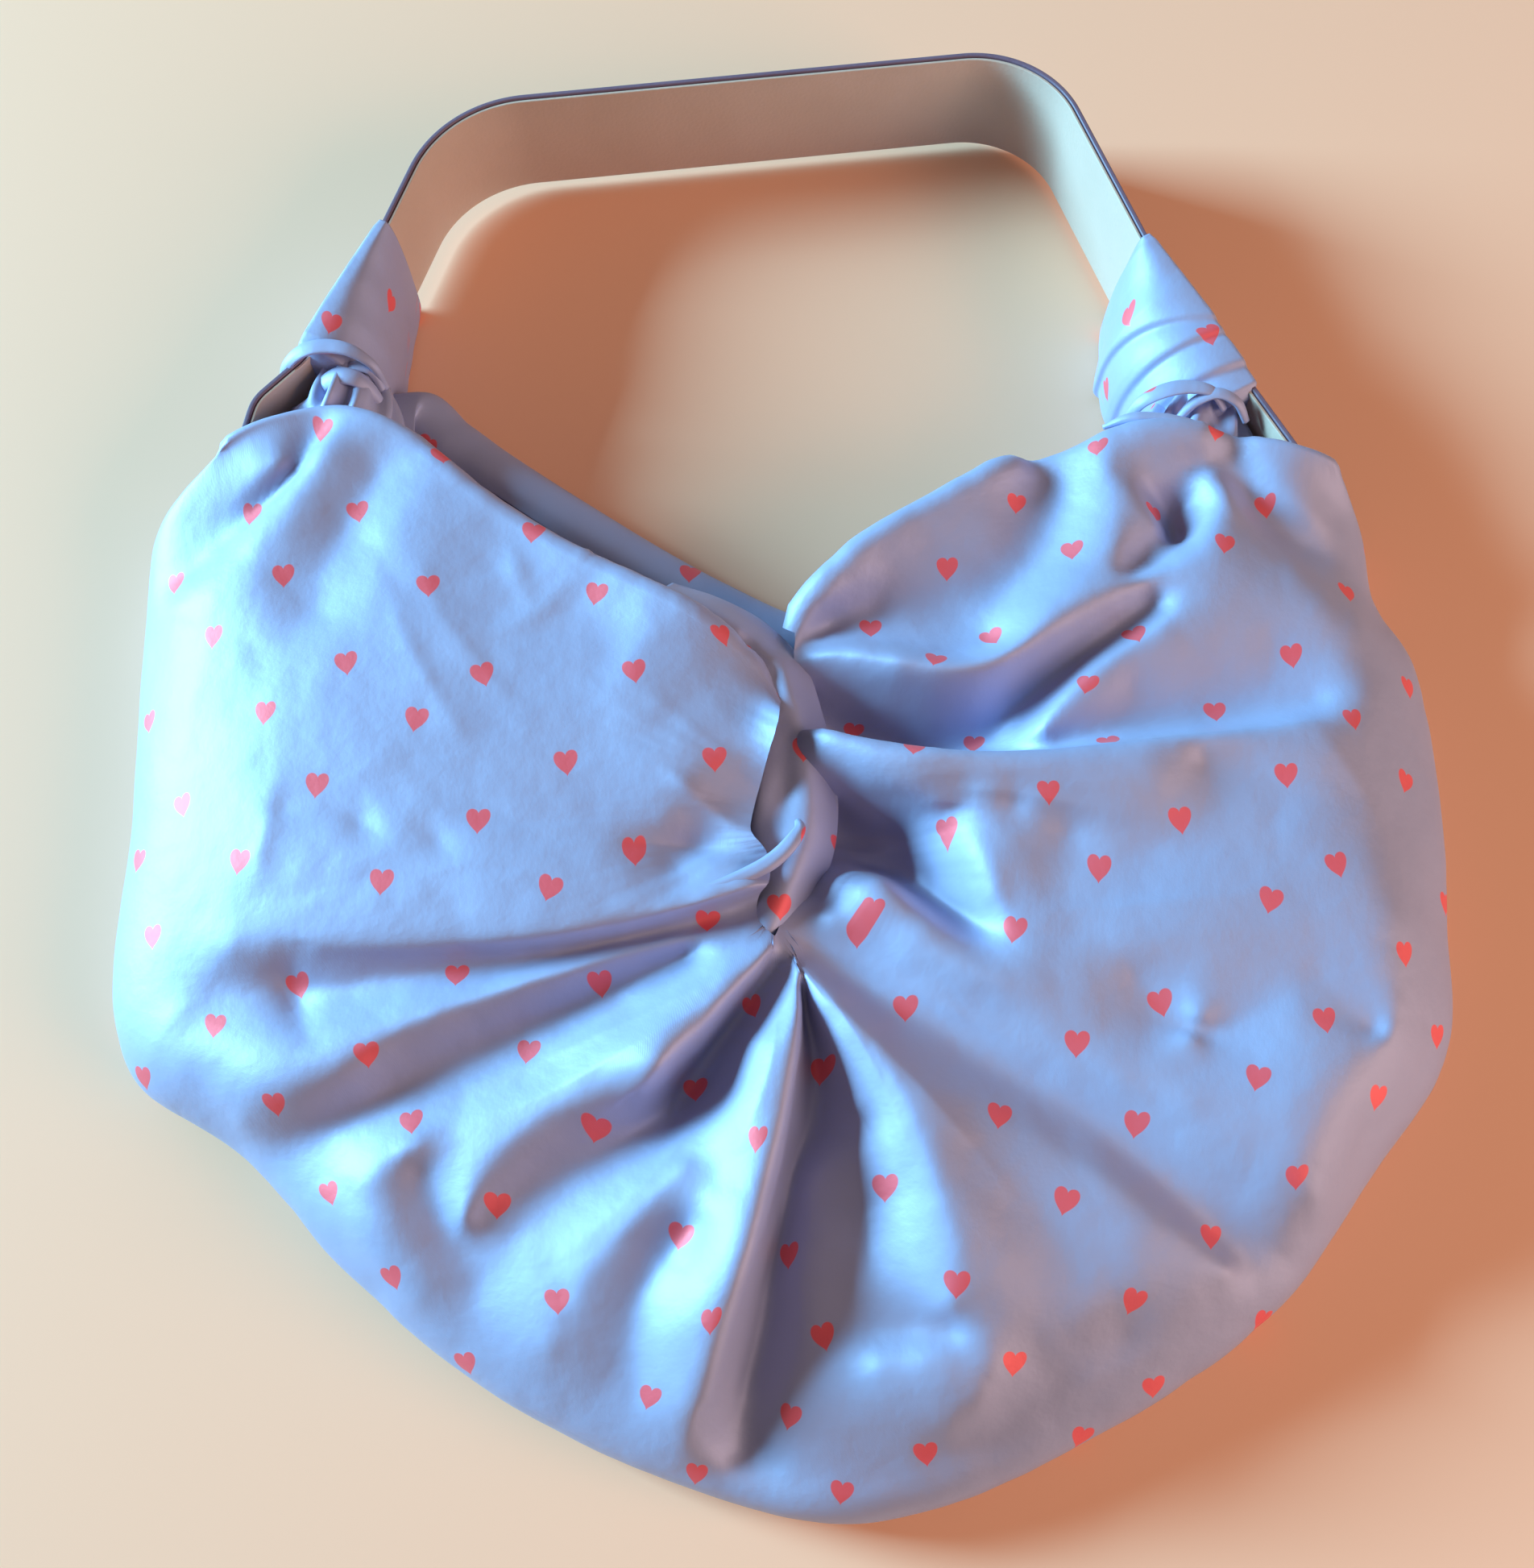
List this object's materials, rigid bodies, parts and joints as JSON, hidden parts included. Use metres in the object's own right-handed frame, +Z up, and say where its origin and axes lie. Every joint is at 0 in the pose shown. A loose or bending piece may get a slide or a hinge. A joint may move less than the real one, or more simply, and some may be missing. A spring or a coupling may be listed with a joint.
{
  "type": "furoshiki bag with a leather band handle",
  "caption": "Soft furoshiki bag lying on its back: a cloth twisted at the front, its corners knotted round a stiff leather band handle.",
  "frame": {"origin": "on the surface that the bag lies on, under the twist at the middle of its front", "axes": "+Y along the bag's length towards its handle, +X to the right of someone who looks down on its front, +Z up through its depth"},
  "size_m": [0.3931, 0.4525, 0.0513],
  "materials": {
    "cotton_sateen": "soft satin weave with a small printed heart motif",
    "band_leather": "smooth fine grain, semi-matt",
    "lining_leather": "smooth, matt"
  },
  "bodies": {
    "root": {"cloth": "cotton_sateen", "band_outer": "band_leather", "band_lining": "lining_leather"}
  },
  "joints": []
}
